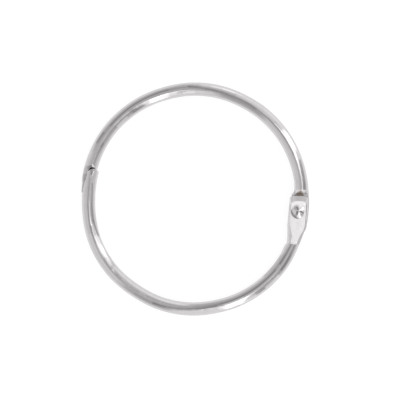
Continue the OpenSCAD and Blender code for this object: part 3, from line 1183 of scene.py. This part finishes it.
def upper_shape(x, y, z):
    return np.where(x > 0, tongue_shape(x, y, z), lip_shape(x, y, z))


upper = make_half(
    "upper",
    (TONGUE_START, LIP_START),
    [(tongue_shape, TONGUE_START, TONGUE_CELLS), (lip_shape, LIP_START, LIP_CELLS)],
    upper_shape,
    upper_finish,
)
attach(upper, "tongue_side")
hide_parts("tongue_half")

# %% [markdown]
# ## The rivet itself
# A rivet could be spun from a profile and dented afterwards, but a skin gives the shank, both heads
# and the dents in one closed mesh. Nothing on it follows the wire, so its cells are plain cubes.
# %% The rivet
RIVET_CELL = 0.045
RIVET_ACROSS = lines(-1.303, 1.297, RIVET_CELL)
RIVET_UP = lines(-1.563, 1.663, RIVET_CELL)


def about_pin(x, y, z):
    return x + PIN_X, y + PIN_Y, z


rivet_skin = skin(rivet_shape, about_pin, RIVET_ACROSS, RIVET_ACROSS, RIVET_UP)
rivet = finish_mesh("rivet", *rivet_skin, rivet_shape, rivet_finish)
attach(rivet, "fork_side")
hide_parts("hinge_rivet")

# %% [markdown]
# ## The sweep under the ring
# The ring lies on a white sweep that glows, as paper does over a light table. A plain floor would
# do, but the glow keeps the white even and leaves only a faint shadow by the wire.
# %% The sweep
FLOOR_R = 1.5
FLOOR_Z = cad_box[0][2]
FLOOR_GLOW = 0.83
FLOOR_GREY = 0.25
WHITE = (1, 1, 1, 1)
bpy.ops.mesh.primitive_circle_add(
    vertices=96, radius=FLOOR_R, fill_type="NGON", location=(0, 0, 0)
)
floor = bpy.context.object
floor.name = "floor"
floor.data.transform(Matrix.Translation((0, 0, FLOOR_Z)))
sweep = bpy.data.materials.new("white_sweep")
bench = cleared(sweep)
glow = bench.node("ShaderNodeEmission", None, {"Color": WHITE, "Strength": FLOOR_GLOW})
matt = bench.node("ShaderNodeBsdfDiffuse", None, {"Color": (FLOOR_GREY, FLOOR_GREY, FLOOR_GREY, 1)})
both = bench.node("ShaderNodeAddShader", None, {0: glow, 1: matt})
bench.node("ShaderNodeOutputMaterial", None, {"Surface": both})
floor.data.materials.append(sweep)
print(f"the sweep lies at {FLOOR_Z / MM:.2f} mm")

# %% [markdown]
# ## The studio
# Polished wire shows its surroundings, so the light is the picture. Round the ring stand two tall
# soft boxes that give the hot streaks and a few dimmer panels, and the darker gaps between them
# draw the lines along the wire. In the world's shader they are far off and light the ring evenly.
# %% The panels
# Pale panels: azimuth, half width and soft edge in degrees, brightness low down and high up.
PANELS = [
    (-168, 33, 8, 0.90, 0.82),
    (22, 7, 8, 1.05, 0.70),
    (62, 18, 12, 1.20, 0.75),
    (-88, 10, 9, 1.02, 1.00),
    (-12, 10, 8, 0.82, 0.72),
]
# Soft boxes: azimuth, half width and soft edge as shares of the distance, lean and brightness.
BOXES = [(31, 0.04, 0.09, 0.05, 2.4), (-70, 0.035, 0.08, 0.0, 2.4)]
WALL_LOW, WALL_FALL, WALL_LIFT = 0.80, 0.42, 0.15
CEILING = 0.62

world = bpy.data.worlds.new("studio")
scene.world = world
bench = cleared(world)
x, y, z = bench.split(bench.node("ShaderNodeTexCoord", out="Generated"))
level = (x * x + y * y).root().at_least(0.0001)
up = z.at_least(0.0)
light = WALL_LOW - up * WALL_FALL + up.rise(0.78, 0.96) * WALL_LIFT
for azimuth, half_width, soft, low, high in PANELS:
    a = math.radians(azimuth)
    facing = (x * math.cos(a) + y * math.sin(a)) / level
    edge, full = (math.cos(math.radians(reach)) for reach in (half_width + soft, half_width))
    panel = low + up.rise(0.2, 0.85) * (high - low)
    light = light + facing.rise(edge, full) * (panel - light)
light = light + up.rise(0.86, 0.97) * (CEILING - light)
for azimuth, half_width, soft, lean_in, bright in BOXES:
    a = math.radians(azimuth)
    ahead = x * math.cos(a) + y * math.sin(a)
    across = y * math.cos(a) - x * math.sin(a) + up.rise(0.6, 0.8) * lean_in
    mask = across.size().rise(half_width + soft, half_width) * ahead.rise(0.05, 0.3)
    light = light + mask * (bright - light)
air = bench.node("ShaderNodeBackground", None, {"Color": WHITE, "Strength": light})
bench.node("ShaderNodeOutputWorld", None, {"Surface": air})
print(f"{len(PANELS)} panels and {len(BOXES)} soft boxes")

# %% [markdown]
# ## The camera
# The ring is seen from straight above. A camera with no perspective would do, but a long lens from
# far away is what a real picture of a small thing is taken with.
# %% The camera
VIEW_WIDTH = 71.54
VIEW_X, VIEW_Y = 0.98, -0.165
LENS = 150
camera_data = bpy.data.cameras.new("camera")
camera_data.lens = LENS
camera_data.clip_start = 0.01
camera = bpy.data.objects.new("camera", camera_data)
scene.collection.objects.link(camera)
distance = VIEW_WIDTH * MM / 2 / (camera_data.sensor_width / 2 / camera_data.lens)
camera.location = (VIEW_X * MM, VIEW_Y * MM, distance)
scene.camera = camera
scene.view_settings.view_transform = "Standard"
print(f"camera {distance / MM:.0f} mm above the ring")

# %% [markdown]
# ## The box of the plain solids
# Dressing the ring must not change its size. The box of the plain solids was kept at the start, and
# is printed here.
# %% Sizes
print("CAD box", cad_box)
